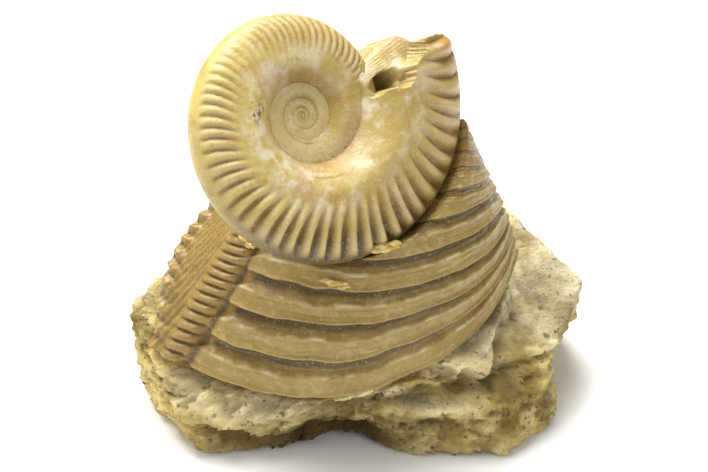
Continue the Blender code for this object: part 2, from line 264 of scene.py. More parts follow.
def half_thickness(share, turn):
    """Half thickness over radius, at a share of the way from seam to rim: outside the
    thickest place a full ellipse, whose power is 2.8, not 2, and inside it a fall by a
    power of the distance. The inner whorls are slimmer."""
    out = np.clip((share - THICKEST) / (1.0 - THICKEST), 0.0, 1.0)
    back = np.clip((THICKEST - share) / THICKEST, 0.0, 1.0)
    slim = 0.54 + 0.46 * ease(turn, -480.0, -230.0)
    return HALF_THICK * slim * np.sqrt(1.0 - out**2.8) * (1.0 - 0.86 * back**1.6)


def coil_point(turn, radius, height):
    """Object point at a turn angle, a distance from the axis and a height along it."""
    across, along, out = COIL_AXES
    angle = np.radians(turn)[..., None]
    flat = radius[..., None] * (np.cos(angle) * across + np.sin(angle) * along)
    return slope_to_object(COIL_CENTRE + flat + height[..., None] * out)


print(f"coil: {rim_radius(43.0) + rim_radius(-137.0):.1f} mm across")

# %% [markdown]
# ## The broken end
#
# The last part of the whorl is snapped off unevenly. The near wall is gone over a patch, so
# the fill inside shows, with a small hollow in it. A Boolean would leave flat cuts. Seen
# along the coil's axis, the near side is one height field above the middle plane: the flank
# where it survives, and the fill elsewhere.

# %% Broken end
# The tube ends, and the near flank ends, at a turn angle for each share of the radius.
END_SHARE = (0.0, 0.26, 0.42, 0.57, 0.63, 0.70, 0.76, 0.83, 0.87, 0.91, 0.96, 1.0)
END_TURN = (41.5, 41.2, 41.0, 38.4, 33.6, 31.4, 31.2, 30.4, 28.0, 25.2, 21.5, 17.5)
FLANK_SHARE = (0.0, 0.08, 0.15, 0.22, 0.38, 0.44, 0.48, 0.54, 0.62, 0.66, 0.72, 1.0)
FLANK_TURN = (9.9, 15.5, 14.4, 17.5, 15.6, 20.0, 25.0, 26.5, 30.5, 34.0, 46.0, 46.0)
DOME_FROM, DOME_TO = 12.0, END_TURN[0] + 0.5
DOME_HEIGHT = 0.125  # of the rim radius


def broken_end(share):
    """Turn angle in degrees at which the whole tube stops, with small chips."""
    chips = 0.4 * np.sin(share * 37.0) + 0.3 * np.sin(share * 83.0 + 1.0)
    return np.interp(share, END_SHARE, END_TURN) + chips


def broken_floor(turn, share, rim):
    """Height in mm of the fill that shows where the near flank is gone: a dome that curves
    down to the end, with growth lines, a hollow, and a pale plug beside the hollow."""
    spot = coil_point(turn, rim * (SEAM_SHARE + (1 - SEAM_SHARE) * share), 0.0 * turn)
    way = np.clip((turn - DOME_FROM) / (DOME_TO - DOME_FROM), 0.0, 1.0)
    dome = DOME_HEIGHT * rim * np.sqrt(1.0 - way**2.2)
    lines = 0.025 * np.sin(4.0 * turn + 3.0 * lumps(spot, 3.0, 5))
    hollow = np.hypot((turn - 22.0) / 7.5, (share - 0.26) / 0.135)
    plug = np.hypot((turn - 25.0) / 6.0, (share - 0.43) / 0.11)
    deep = 5.0 * (1.0 - ease(hollow, 0.45, 1.0))
    raised = 1.2 * (1.0 - ease(plug, 0.1, 1.0))
    return dome + lines - deep + raised + 0.08 * rough(spot, 2.2, 3, 8)


def flank_left(turn, share):
    """1 where the near flank survives and 0 where it is broken away, over a steep edge."""
    edge = np.interp(share, FLANK_SHARE, FLANK_TURN)
    edge = edge + 0.4 * np.sin(share * 29.0) + 0.3 * np.sin(share * 71.0)
    return 1.0 - ease(turn - edge, -0.5, 0.8)


print("the tube ends between", min(END_TURN), "and", max(END_TURN), "degrees")

# %% [markdown]
# ## Ribs
#
# Fifty to sixty ribs cross each turn. They begin halfway out on the flank, start backwards,
# thicken and bend forward towards the shoulder, and stop before a smooth band round the
# rim. A rib is rounded and the groove beside it is narrow, as in a sine's absolute value.

# %% Ribs on the flank
RIBS_EARLY, RIBS_LATE = 60, 51  # per turn, before and after the turn angle of -120
RIB_HEIGHT_MM = 1.65
RIB_BEND, RIB_BOW = 11.5, 9.0  # degrees forward by the square of the way, and backward by it


def rib_profile(turn, share):
    """(height from 0 to 1, strength from 0 to 1). A rib's turn angle is a parabola of its
    share: it starts backwards and bends forward. Height is a sine's absolute value."""
    way = np.clip((share - 0.45) / 0.5, 0.0, 1.2)
    bow = RIB_BOW + 8.0 * ease(turn, -265.0, -215.0) + 5.0 * bell(turn, -165.0, 35.0)
    unbent = turn - RIB_BEND * way**2 + bow * way
    wander = 0.35 * np.sin(np.radians(turn) * 7.0) + 0.25 * np.sin(np.radians(turn) * 17.0)
    count = RIBS_LATE * unbent - (RIBS_EARLY - RIBS_LATE) * np.clip(-120.0 - unbent, 0.0, None)
    top = np.abs(np.sin(math.pi * (count / 360.0 + wander * 0.15))) ** 0.95
    inner = 0.43 + 0.04 * np.sin(np.radians(turn) * 2.0 + 0.4)
    outer = 0.925 + 0.03 * bell(turn, -75.0, 50.0)
    strength = ease(share, inner, inner + 0.30) * (1.0 - ease(share, outer - 0.02, outer + 0.05))
    worn = spot_mark(turn, share, (-217.0, 0.7), (18.0, 0.6))
    return top, strength * (1.0 - 0.7 * worn)


def spot_mark(turn, share, centre, size):
    """A bell along the turn times a bell across it, with (turn, share) pairs."""
    return bell(turn, centre[0], size[0]) * bell(share, centre[1], size[1])


print("ribs on the last turn:", round(RIBS_LATE / 3 + RIBS_EARLY * 2 / 3))

# %% One side of the coil


def coil_surface(turn, share, side):
    """Object points of the near (+1) or far (-1) side, with ribs, and their marks. Height
    above the middle plane is the half thickness plus ribs, wear, a knob and a sunk seam,
    and on the near side it drops to the broken floor where the flank is gone."""
    rim = rim_radius(turn)
    top, strength = rib_profile(turn, share)
    size = rim / COIL_RADIUS
    crisp = 0.32 + 0.68 * np.cos(np.radians(turn + 70.0) / 2.0) ** 4
    ribs = RIB_HEIGHT_MM * size * crisp * strength * (top - 0.70)
    height = half_thickness(share, turn) * rim
    radius = rim * (SEAM_SHARE + (1.0 - SEAM_SHARE) * share)
    spot = coil_point(turn, radius, side * height)
    worn = 0.10 * size * rough(spot, 2.6, 3, 21)
    knob = spot_mark(turn, share, (26.5, 0.80), (3.6, 0.11))
    height = height + (ribs + worn + 1.1 * knob * (side > 0)) * (1.0 - share**24)
    height = np.maximum(height - 0.35 * size * bell(share, 0.0, 0.04), 0.0)
    left = np.ones_like(height)
    if side > 0:
        left = flank_left(turn, share)
        floor = np.minimum(broken_floor(turn, share, rim), height - 0.05)
        height = floor + (height - floor) * left
    # These marks paint shade: darker in the grooves, most of all on the underside of the coil,
    # on the underside of the rim and on the upper side of each navel wall. The rib tops get a
    # painted highlight.
    from_top = np.mod(turn + 90.0, 360.0) - 180.0
    bottom_groove_shade = 1.7 * ease(share, 0.58, 0.84) * bell(turn, -75.0, 45.0)
    return coil_point(turn, radius, side * height), {
        "groove": strength * (1.0 - top), "bottom_groove_shade": strength * (1.0 - top) * bottom_groove_shade,
        "crest_highlight": strength * top, "inner": 1.0 - share,
        "venter_shade": spot_mark(turn, share, (-88.0, 0.99), (48.0, 0.06)),
        "keel": spot_mark(turn, share, (-5.0, 1.0), (35.0, 0.012)) * (side > 0),
        "seam": bell(share, 0.02, 0.03),
        "wall": bell(from_top, 8.0, 55.0) * (1.0 - ease(share, 0.12, 0.34)),
        "orange": spot_mark(turn, share, (-64.0, 0.12), (16.0, 0.07)),
        "arc": spot_mark(turn, share, (-72.0, 0.20), (17.0, 0.010)),
        "soot": spot_mark(turn, share, (-180.0, 0.30), (9.0, 0.10)),
        "cream": spot_mark(turn, share, (12.5, 0.03), (4.0, 0.08)),
        "dusty": spot_mark(turn, share, (-150.0, 0.30), (70.0, 0.18)),
        "amber": knob, "heart": 1.0 - ease(turn, -440.0, -370.0),
        "olive": (1.0 - left) * spot_mark(turn, share, (19.5, 0.27), (5.5, 0.08)),
        "plug": (1.0 - left) * spot_mark(turn, share, (25.0, 0.40), (5.0, 0.09)),
    }


# %% Build the coil
NEAR_COLUMNS, DORSUM_COLUMNS = 60, 6
EVEN_UNTIL, LAST_ROW = 5.0, 43.0  # degrees; between them, rows are fitted to the broken end
inner_shares = np.linspace(0.0, 0.34, 18)
outer_shares = 0.36 + 0.64 * np.sin(np.linspace(0.02, 1.0, NEAR_COLUMNS - 18) * math.pi / 2)
shares = np.concatenate([inner_shares, outer_shares])
rows = np.concatenate([np.arange(-2100, -720, 8.0), np.arange(-720, -330, 3.5),
                       np.arange(-330, EVEN_UNTIL, 0.9),
                       np.linspace(EVEN_UNTIL, LAST_ROW, 100)])


def row_turns(share):
    """Turn angle of every row at each share: the last rows are squeezed or stretched so
    that they end at the broken edge."""
    turn = np.broadcast_to(rows[:, None], (len(rows), len(share))).copy()
    late = np.clip(turn - EVEN_UNTIL, 0.0, None) / (LAST_ROW - EVEN_UNTIL)
    return np.minimum(turn, EVEN_UNTIL) + late * (broken_end(share) - EVEN_UNTIL)


share_grid = np.broadcast_to(shares, (len(rows), len(shares)))
near, near_marks = coil_surface(row_turns(shares), share_grid, 1.0)
far, far_marks = coil_surface(row_turns(shares[:-1]), share_grid[:, :-1], -1.0)
# The inner wall follows the outside of the whorl one turn before.
lap = np.linspace(0.0, 1.0, DORSUM_COLUMNS + 2)[1:-1]
seam_turn = row_turns(np.zeros(1))
inner_rim = rim_radius(seam_turn) / EXPANSION * (0.66 + 0.34 * np.sin(lap * math.pi) ** 0.7)
dorsum = coil_point(np.repeat(seam_turn, DORSUM_COLUMNS, 1), inner_rim,
                    rim_radius(seam_turn) * 0.1 * np.cos(lap * math.pi))
coil = np.concatenate([near, far[:, ::-1], dorsum[:, ::-1]], axis=1)
ids = numbered(coil)
quads = [grid_quads(np.concatenate([ids, ids[:, :1]], axis=1))]
marks = {mark: np.concatenate([near_marks[mark], far_marks[mark][:, ::-1],
                               np.zeros(dorsum.shape[:2])], axis=1) for mark in near_marks}
print("coil grid:", coil.shape)

# %% Close the broken end and the first chamber
# The cap's rows go from the near side's end to the far side's, one for each column of the
# inner wall.
fade = lap[:, None, None]
cap = near[-1][None] * (1.0 - fade) + np.concatenate([far[-1], near[-1, -1:]])[None] * fade
cap[:, 0] = dorsum[-1]
bumps = rough(cap, 1.6, 3, 31) * np.sin(lap * math.pi)[:, None] * ease(1.0 - shares, 0, 0.2)
cap[:, 1:-1] += (0.5 * bumps)[:, 1:-1, None] * (cap[:, 1:-1] - cap[:, :-2])
cap_ids = numbered(cap, ids.size)
far_last = np.concatenate([ids[-1, NEAR_COLUMNS:2 * NEAR_COLUMNS - 1][::-1],
                           ids[-1, NEAR_COLUMNS - 1:NEAR_COLUMNS]])
quads.append(grid_quads(np.concatenate([ids[-1:, :NEAR_COLUMNS], cap_ids, far_last[None]])))
tip = coil[0].mean(axis=0)
tip_id = ids.size + cap_ids.size
quads.append(fan(np.concatenate([ids[0], ids[0, :1]]), tip_id))
# The first chamber is a small ball that fills the very middle.
ball = slope_to_object(COIL_CENTRE + globe_grid(16, 24) * np.array([0.42, 0.42, 0.30]))
quads.append(grid_quads(numbered(ball, tip_id + 1)))
ammonite = mesh_piece("ammonite_coil", [coil, cap, tip, ball], quads, marks)

# %% [markdown]
# ## The clam's valve
#
# A clam grows along its whole margin, so each growth line is a larger copy of the last one,
# turned a little about the hinge. Size and the angle along the margin are the two numbers
# of the surface: the flank's coarse ribs run along one size, and the knobbly ridge behind
# them, the carina, along one angle.

# %% Growth lines
BEAK = np.array([10.5, 20.5, 0.0])
VALVE_AXES = plane_axes(math.radians(1.2), math.radians(11.0))
HINGE_FLAT, HINGE_RISE = math.radians(17.6), math.radians(4.1)
COIL_RATE = 0.82  # a growth line of size s has turned by -log(s) / rate
# Distance of the margin from the beak, and its lift, in mm: polynomials in (angle - 270) / 60.
REACH = (42.2, -32.2, -10.0, 8.0, 7.3)
LIFT = (-17.9, -14.0, -2.1, 6.4)
VALVE_OUT, VALVE_CANT = 2.0, 0.12  # mm out of the slope, and mm more for each mm across
CARINA_AT = 225.5  # degrees round the margin
RIB_FIRST, RIB_RATIO = 0.818, 0.904  # size of the lowest rib, and of each over the one before


def growth_point(size, at):
    """Slope point of the growth line of a size, at an angle in degrees: reach and lift in
    the valve's plane, turned about the hinge by Rodrigues' formula, scaled by the size."""
    across, along, out = VALVE_AXES
    t = (at - 270.0) / 60.0
    reach, lift = (sum(c * t**i for i, c in enumerate(curve))[..., None]
                   for curve in (REACH, LIFT))
    angle = np.radians(at)[..., None]
    line = reach * (np.cos(angle) * across + np.sin(angle) * along) + lift * out
    hinge = math.cos(HINGE_FLAT) * across + math.sin(HINGE_FLAT) * along
    hinge = math.cos(HINGE_RISE) * hinge + math.sin(HINGE_RISE) * out
    turned = (-np.log(size) / COIL_RATE)[..., None]
    fixed = (line @ hinge)[..., None] * hinge
    away = line - fixed
    spun = np.cos(turned) * away - np.sin(turned) * np.cross(hinge, away)
    point = BEAK + size[..., None] * (fixed + spun)
    point[..., 2] += VALVE_OUT + VALVE_CANT * point[..., 0]
    return point


def area_edge(size):
    """Angle in degrees at which the growth line ends behind the carina."""
    return 205.0 + 16.5 * np.clip((size - 0.42) / 0.386, 0.0, 1.0) ** 1.4


def front_edge(size):
    """Angle in degrees at which the growth line ends, round the front of the valve."""
    return 312.0 - 10.0 * np.clip((size - 0.5) / 0.32, 0.0, 1.0)


tips = growth_point(np.full(2, RIB_FIRST), np.array([CARINA_AT, 302.0]))
print("lowest rib, end to end:", np.linalg.norm(tips[1] - tips[0]).round(1), "mm")

# %% [markdown]
# ### Ribs, rings and lines
#
# Each coarse rib of the flank is a shelf, not a wave: a flat pale band, a raised lip along
# its lower edge, a sharp drop, and a hollow before the next band. It ends in a rounded
# tongue short of the carina. The carina is a row of rings, and the area behind it has fine
# threads that run the other way, with small knobs.

# %% Relief of the valve
# Height of a rib over one period: from its lip (0) inwards to the next lip (1).
RIB_AT = (0.0, 0.035, 0.09, 0.20, 0.42, 0.50, 0.56, 0.66, 0.78, 0.90, 0.945, 0.975, 1.0)
RIB_HEIGHT = (1.0, 1.02, 0.84, 0.72, 0.70, 0.78, 0.60, 0.26, 0.08, 0.0, 0.02, 0.45, 1.0)
RING_RATIO = 0.9705  # size of each ring of the carina over the one before
RING_TILT = 0.14  # rings climb by this share of a ring for each degree
THREAD_STEP = 1.1  # degrees between the threads of the area
KNOB_STEP = 0.0526  # step in the logarithm of size between knobs on its edge
SHELF_MM, CARINA_MM = 1.42, 1.7  # heights of a rib and of the carina at size 1


def front_squeeze(at):
    """How much of a rib period the ribs are drawn in at the front of the valve."""
    return 0.75 * ease(at, 240.0, 292.0) + 0.45 * ease(at, 280.0, 304.0)


def valve_relief(size, at, spot):
    """(height in mm, marks) over the smooth shell. A rib's height is read from the table
    by phase, the logarithm of size counted in ribs. The carina is a flat-topped bell in the
    angle, cut by rings, and the area behind it has sine threads along the angle."""
    waver = 0.10 * lumps(spot, 7.0, 41) + 0.05 * lumps(spot, 2.5, 42)
    phase = np.log(size / RIB_FIRST) / np.log(RIB_RATIO) + waver
    phase = phase - front_squeeze(at) * ease(size, 0.60, 0.76)
    turn = np.mod(phase, 1.0)
    shape = np.interp(turn, RIB_AT, RIB_HEIGHT)
    tongue = 1.3 + 2.2 * np.minimum(((turn - 0.28) / 0.30) ** 2, 1.6) / size * 0.62
    flank = ease(at - CARINA_AT - tongue, 0.0, 1.1)
    fine = 0.28 + 0.72 * ease(size, 0.36, 0.64)
    gone = ease(phase, -0.25, -0.02)
    ribs = SHELF_MM * size * fine * shape * flank * gone
    small = RIB_FIRST - size
    off = at - CARINA_AT - 0.5 + 8.0 * small
    keel = np.exp(-np.abs(off / (1.95 + 6.0 * small)) ** 4.0)
    ring = np.log(size) / np.log(RING_RATIO) - RING_TILT * off * size
    ring = ring + 0.25 * lumps(spot, 5.0, 44)
    rings = np.abs(np.sin(math.pi * ring)) ** 0.55
    groove = bell(off, 2.6 + 6.5 * small, 0.6)
    area = 1.0 - ease(off + 6.0 * small, -2.7, -1.8)
    threads = np.sin(2.0 * math.pi * at / THREAD_STEP + 0.8 * lumps(spot, 3.0, 43))
    beads = 0.5 + 0.5 * np.sin(math.pi * ring * 0.8 + 4.0 * np.floor(at / THREAD_STEP))
    knob_step = np.log(size) / KNOB_STEP + 0.5 * lumps(spot, 3.5, 45)
    knobs = bell(at, area_edge(size) + 1.2, 1.3) * np.sin(math.pi * knob_step) ** 2
    height = ribs + size * (keel * (CARINA_MM + 1.15 * (rings - 1.0)) - 0.5 * groove)
    height = height + area * (0.12 * threads * (0.4 + beads) + 0.9 * knobs)
    streak = rough(np.stack([phase * 9.0, at / 7.0, 0.0 * at], -1), 1.0, 3, 48)
    height = height + 0.05 * streak * flank
    height = height + 0.06 * rough(spot, 1.8, 3, 47) + 0.12 * lumps(spot, 4.5, 46) * flank
    clear = flank * gone * (0.35 + 0.65 * ease(size, 0.36, 0.56))
    # Most marks paint light and shade: lighter flat faces of the ribs, a highlight on each lip
    # and on the scratched shoulders, and shade in the hollows, under each lip, between the
    # carina's rings, between the threads and in the ditch beside the carina.
    marks = {
        "lip_highlight": clear * bell(np.minimum(turn, 1.0 - turn), 0.0, 0.05),
        "lit_band": clear * (1.0 - ease(turn, 0.50, 0.60)),
        "shoulder_scratch_highlight": clear * bell(turn, 0.52, 0.04),
        "hollow": clear * ease(turn, 0.60, 0.80) * (1.0 - 0.3 * ease(turn, 0.97, 1)),
        "under_lip_shadow": clear * bell(turn, 0.93, 0.04),
        "keel": keel, "ring": keel * (1.0 - rings), "area": area,
        "thread_shade": area * (0.5 - 0.5 * threads), "knob": area * knobs, "ditch_shade": groove,
        "streak": np.clip(0.5 + 0.9 * streak, 0.0, 1.0) * flank,
    }
    return height, marks


print("ribs down to half size:", int(math.log(0.5 / RIB_FIRST, RIB_RATIO)))

# %% Build the valve
VALVE_ROWS, VALVE_COLUMNS, VALVE_SMALLEST = 520, 165, 0.22
spans = np.linspace(0.0, 1.0, VALVE_ROWS)[:, None]
size = RIB_FIRST * 1.015 * (VALVE_SMALLEST / RIB_FIRST) ** spans
size = np.repeat(size, VALVE_COLUMNS, 1)
part = np.linspace(0.0, 1.0, VALVE_COLUMNS)[None, :] ** 1.12
at = area_edge(size) + (front_edge(size) - area_edge(size)) * part
size = size * RIB_RATIO ** (front_squeeze(at) * (1.0 - spans) ** 4)
smooth_shell = growth_point(size, at)
shell_normal = surface_normals(smooth_shell)
shell_normal *= np.sign(shell_normal[..., 2:].sum())
relief, valve_marks = valve_relief(size, at, slope_to_object(smooth_shell))


def under_coil(points, gap=0.25):
    """Push points inside the ammonite back along its axis, until they are a gap behind its
    far side: the clam is dented where the ammonite was pressed into it."""
    across, along, out = COIL_AXES
    arm = points - COIL_CENTRE
    x, y, height = arm @ across, arm @ along, arm @ out
    turn = np.degrees(np.arctan2(y, x))
    turn = np.where(turn > END_TURN[0], turn - 360.0, turn)
    rim = rim_radius(turn)
    share = (np.hypot(x, y) / rim - SEAM_SHARE) / (1.0 - SEAM_SHARE)
    half = half_thickness(np.clip(share, THICKEST, 1.0), turn)
    limit = np.where(share < 1.01, -half * rim - gap, np.inf)
    return points + np.minimum(limit - height, 0.0)[..., None] * out


outside = slope_to_object(under_coil(smooth_shell + relief[..., None] * shell_normal))
print("relief of the valve:", relief.min().round(2), "to", relief.max().round(2), "mm")

# %% [markdown]
# ### Back of the valve
#
# The inner face is hidden in the stone, so a coarse grid is enough. Joining each point of
# the fine border to its nearest point of the coarse one, in order, closes the gap between.

# %% Close the valve


def border(ids):
    """Point numbers round the edge of a 2-D array, in order, ending where they start."""
    return np.concatenate([ids[0, :-1], ids[:-1, -1], ids[-1, :0:-1], ids[::-1, 0]])


coarse_rows = np.linspace(0, VALVE_ROWS - 1, 40).astype(int)
coarse_columns = np.linspace(0, VALVE_COLUMNS - 1, 26).astype(int)
pick = np.ix_(coarse_rows, coarse_columns)
wall = 0.7 + 1.0 * size[pick]
inside = smooth_shell[pick] - wall[..., None] * shell_normal[pick]
inside = slope_to_object(under_coil(inside, 1.2))
outer_ids = numbered(outside)
inner_ids = numbered(inside, outer_ids.size)


def paced_ring(ids):
    """The border with each side's points numbered by how far along the side they are."""
    rows_n, columns_n = ids.shape
    steps = (columns_n - 1, rows_n - 1, columns_n - 1, rows_n - 1)
    where = [k + np.arange(n) / n for k, n in enumerate(steps)] + [[4.0]]
    return border(ids), np.concatenate(where)


fine_ring, fine_where = paced_ring(outer_ids)
coarse_ring, coarse_where = paced_ring(inner_ids)
nearest = coarse_ring[np.abs(fine_where[:, None] - coarse_where[None]).argmin(axis=1)]
sides = np.stack([fine_ring[:-1], fine_ring[1:], nearest[:-1], nearest[:-1]], -1)
moved = nearest[1:] != nearest[:-1]
steps = np.stack([fine_ring[1:], nearest[1:], nearest[:-1], nearest[:-1]], -1)[moved]
valve = mesh_piece("clam_valve", [outside, inside],
                   [grid_quads(outer_ids), grid_quads(inner_ids), sides, steps], valve_marks)

# %% [markdown]
# ## The limestone chip
#
# The stone was split and chiselled, so it is a few flat breaks with rounded arrises, and
# rough on top of that. Boxes with a Bevel would look sawn. Every part of it can be seen
# from one point inside, so its surface is a distance for each direction: the nearest of the
# break planes. A lower block, a slab that overhangs it and the core under the shells are
# worked out this way, and the furthest of the three wins.

# %% Break planes
STONE_HEART = np.array([0.5, -1.0, 7.0])
ARRIS_MM, JOIN_MM = 0.35, 0.25  # how soft the arrises are, and the joins of the blocks
# Each break is ((azimuth, elevation) of its face in degrees, a point on it in mm).
LOWER_BLOCK = (
    ((-90, -90), (0, 0, 0)), ((-90, 12), (0, -18.6, 0)),
    ((-47, 6), (23, -15.2, 0)), ((-3, 4), (26.8, -6, 5)),
    ((45, 8), (25, 8, 4)), ((92, 3), (0, 18, 6)),
    ((140, 10), (-20, 12, 6)), ((184, -2), (-29.4, 0, 6)),
    ((209, -14), (-24.2, -10.8, 0)), ((-85, 80), (0, -10, 10)),
)
UPPER_SLAB = (
    ((-62, -66), (20, -11, 10)), ((-74, 5), (9, -14.6, 9.5)),
    ((-106, 8), (-14, -16.4, 8)), ((-45, -10), (27.6, -7.5, 12)),
    ((-15, -14), (30.6, 0, 12)), ((36, 8), (27, 10, 14)),
    ((92, 3), (0, 18.5, 14)), ((140, 10), (-20, 12, 10)),
    ((184, -3), (-30, 0, 12)), ((208, -8), (-27, -9.5, 9)),
    ((-80, 78), (20, 0, 13.3)),
)
CORE = (
    ((-90, -90), (0, 0, 0)), ((-90, 10), (0, -15, 8)),
    ((209, 0), (-24, -9, 8)), ((184, 0), (-26, 0, 10)),
    ((-20, 4), (22, -3, 8)), ((80, 52), (-3, 3, 38)),
    ((158, 30), (-19, 0, 22)), ((130, 25), (-12, 12, 22)),
    ((90, 12), (0, 17, 20)), ((14, 16), (18.6, 2, 22)),
)


def block_reach(rays, block):
    """Distance from the heart to a block's surface along unit rays: a soft minimum of the
    distances to its planes, which is minus the log of the sum of exponentials."""
    total = 0.0
    for (azimuth, elevation), point in block:
        normal = facing(azimuth, elevation)
        depth = normal @ (np.array(point) - STONE_HEART)
        reach = depth / np.maximum(rays @ normal, 1e-3)
        total = total + np.exp(-np.minimum(reach, 90.0) / ARRIS_MM)
    return -ARRIS_MM * np.log(total)


print("lower block to the right:", block_reach(facing(0.0, 0.0), LOWER_BLOCK).round(1), "mm")

# %% [markdown]
# ### Rays over the stone
#
# A plain globe grid wastes most of its points near its poles. Here the rows are close
# together over the front and the slab's edge, where the detail shows.

# %% Rays
STONE_ROWS, STONE_COLUMNS = 205, 470
NEAR_RAY = 2.2  # degrees within which the valve's points count
elevation = np.interp(np.linspace(0.0, 1.0, STONE_ROWS), (0.0, 0.10, 0.20, 0.78, 0.9, 1.0),
                      (-89.0, -48.0, -30.0, 34.0, 60.0, 89.0))
azimuth = np.linspace(0.0, 360.0, STONE_COLUMNS, endpoint=False)
grid_el, grid_az = np.meshgrid(elevation, azimuth, indexing="ij")
rays = facing(grid_az, grid_el).reshape(-1, 3)


def roof_reach(rays, cover):
    """Distance from the heart to the clam valve over each ray: the least of the valve's
    points near it, or no limit where there is none."""
    arms = cover - STONE_HEART
    far = np.linalg.norm(arms, axis=1)
    arms = (arms / far[:, None]).astype(np.float32)
    found = np.full(len(rays), np.inf)
    for part in np.array_split(np.arange(len(rays)), 40):
        match = rays[part].astype(np.float32) @ arms.T
        near_ray = match > math.cos(math.radians(NEAR_RAY))
        found[part] = np.where(near_ray, far, np.inf).min(axis=1)
    return found


plain = smooth_shell[::7, ::3].reshape(-1, 3)
dented = under_coil(plain, 1.4)
pushed = np.linalg.norm(dented - plain, axis=1) > 0.2
between = [plain[pushed] * (1.0 - t) + dented[pushed] * t for t in (0.2, 0.4, 0.6, 0.8)]
cover = slope_to_object(np.concatenate([dented] + between))
roof = roof_reach(rays, cover)
print("rays under the valve:", int(np.isfinite(roof).sum()), "of", len(roof))

# %% [markdown]
# ### Rough, pitted limestone
#
# Large facets and ledges are tilted planes, squashed so that they follow the bedding. A
# grainy skin is finer noise. Dark pits are where shell bits fell out. A few hollows and
# bulges of known place and size are bell-shaped.

# %% Relief of the stone


def facets(points, size, seed):
    """Broken facets from about -1 to 1: each point takes the tilted plane of its nearest
    scattered centre, so planes meet at sharp, stepped borders."""
    warped = points / size + 0.35 * np.stack([lumps(points, size * 0.8, seed + k)
                                              for k in (7, 8, 9)], -1)
    nearest = np.full(points.shape[:-1], np.inf)
    height = np.zeros(points.shape[:-1])
    for cell, arm in scattered(warped, seed):
        tilt = np.stack([cell_random(cell, seed + k) - 0.5 for k in (4, 5, 6)], -1)
        far = (arm**2).sum(-1)
        plane = 2.4 * (tilt * arm).sum(-1) + cell_random(cell, seed + 10) - 0.5
        height = np.where(far < nearest, plane, height)
        nearest = np.minimum(far, nearest)
    return height


# Each dent is (centre in mm, size in mm, depth in mm); a negative depth is a bulge. Fresh
# breaks and brown zones are (centre, size), and colour the stone.
DENTS = (
    ((-3, -18.5, 1.4), (8.5, 8, 3.2), 4.2), ((-4, -17.5, 8), (7, 5, 1), 1.3),
    ((8, -16, 8), (6, 4, 1), 2), ((18, -12.5, 8.8), (7, 4, 0.9), 2.2),
    ((-26, -8, 9.6), (2.6, 3, 0.5), 1.8), ((15.2, -13, 10.8), (0.9, 2, 1), 2.2),
    ((-17.5, -18, 1.5), (3.2, 3, 1.6), 1.2), ((13, -17, 4), (3.5, 3, 2), 1),
    ((-30, -4, 13.5), (4, 8, 4), 0.9), ((19, -8.5, 12.5), (1.2, 4.5, 1.6), 1.8),
    ((10.5, -16.5, 5), (2.4, 3, 1), 1.5), ((17, -14.5, 4.5), (1.4, 3, 2.6), 1.4),
    ((-20.5, -16.5, 6), (1.6, 3, 1.4), 1.2), ((-12.5, -18.5, 6.2), (8, 5, 1.8), -1.5),
    ((12, -16.5, 7), (5, 4, 1), -0.9),
)
FRESH_BREAKS = (((-12.5, -17.5, 7.4), (8, 5, 2.2)), ((3, -17, 9), (5, 5, 0.8)),
                ((14.5, -14, 11.8), (4.5, 4, 1.3)), ((11, -16, 7.2), (4, 4, 0.9)),
                ((-22.5, -13, 9), (3, 5, 1.6)))
BROWN_ZONES = (((-17.5, -17, 4), (3.6, 5, 3.2)), ((1, -16, 1.5), (7, 6, 1.8)),
               ((16, -15, 5.5), (5, 5, 2.4)), ((12, -14, 9.6), (6, 4, 0.9)))


def blob(points, centre, size):
    """The product of a bell along each of the three axes."""
    return bell(points, np.array(centre), np.array(size)).prod(-1)


def stone_relief(points):
    """(height in mm, marks): coarse facets, bedded ledges, grain, pits and dents."""
    bedded = points * np.array([1.0, 1.0, 1.7])
    slab = ease(points[..., 2] + 0.22 * points[..., 0], 15.0, 18.5)
    craggy = 1.0 - 0.72 * slab
    big = craggy * (0.70 * facets(bedded, 6.0, 61) + 0.42 * facets(bedded, 2.6, 161))
    big = big + 0.45 * rough(bedded, 9.0, 2, 65) - 0.45
    grain = (0.20 * facets(points, 1.1, 261) + 0.20 * rough(points, 1.3, 3, 71)) * craggy
    fresh = sum(blob(points, centre, size) for centre, size in FRESH_BREAKS)
    brown = sum(blob(points, centre, size) for centre, size in BROWN_ZONES)
    rotten = np.clip(brown + 0.5 * ease(rough(points, 7.0, 2, 75), 0.1, 0.7), 0.0, 1.0)
    rotten = rotten * (1.0 - np.clip(fresh, 0.0, 1.0))
    holes = pits(points, 2.2, 0.30, 81) * (0.15 + 0.85 * rotten)
    small = pits(points, 1.0, 0.30, 91) * (0.35 + 0.65 * rotten)
    dent = sum(depth * blob(points, centre, size) for centre, size, depth in DENTS)
    height = big + grain - 1.2 * holes - 0.5 * small - dent
    # Besides stains and pits, these marks paint shade: darker in the dents, in the low spots of
    # the relief and towards the foot. The upper bed is paler stone with painted light on its
    # top.
    marks = {"pit": np.clip(holes + small, 0.0, 1.0), "cave_shade": np.clip(dent / 2.4, 0.0, 1.0),
             "slab": slab, "rotten": rotten, "fresh": np.clip(fresh, 0.0, 1.0),
             "low": 1.0 - ease(points[..., 2], 2.0, 11.0),
             "deep": ease(-(big + grain), 0.0, 0.9)}
    return height, marks


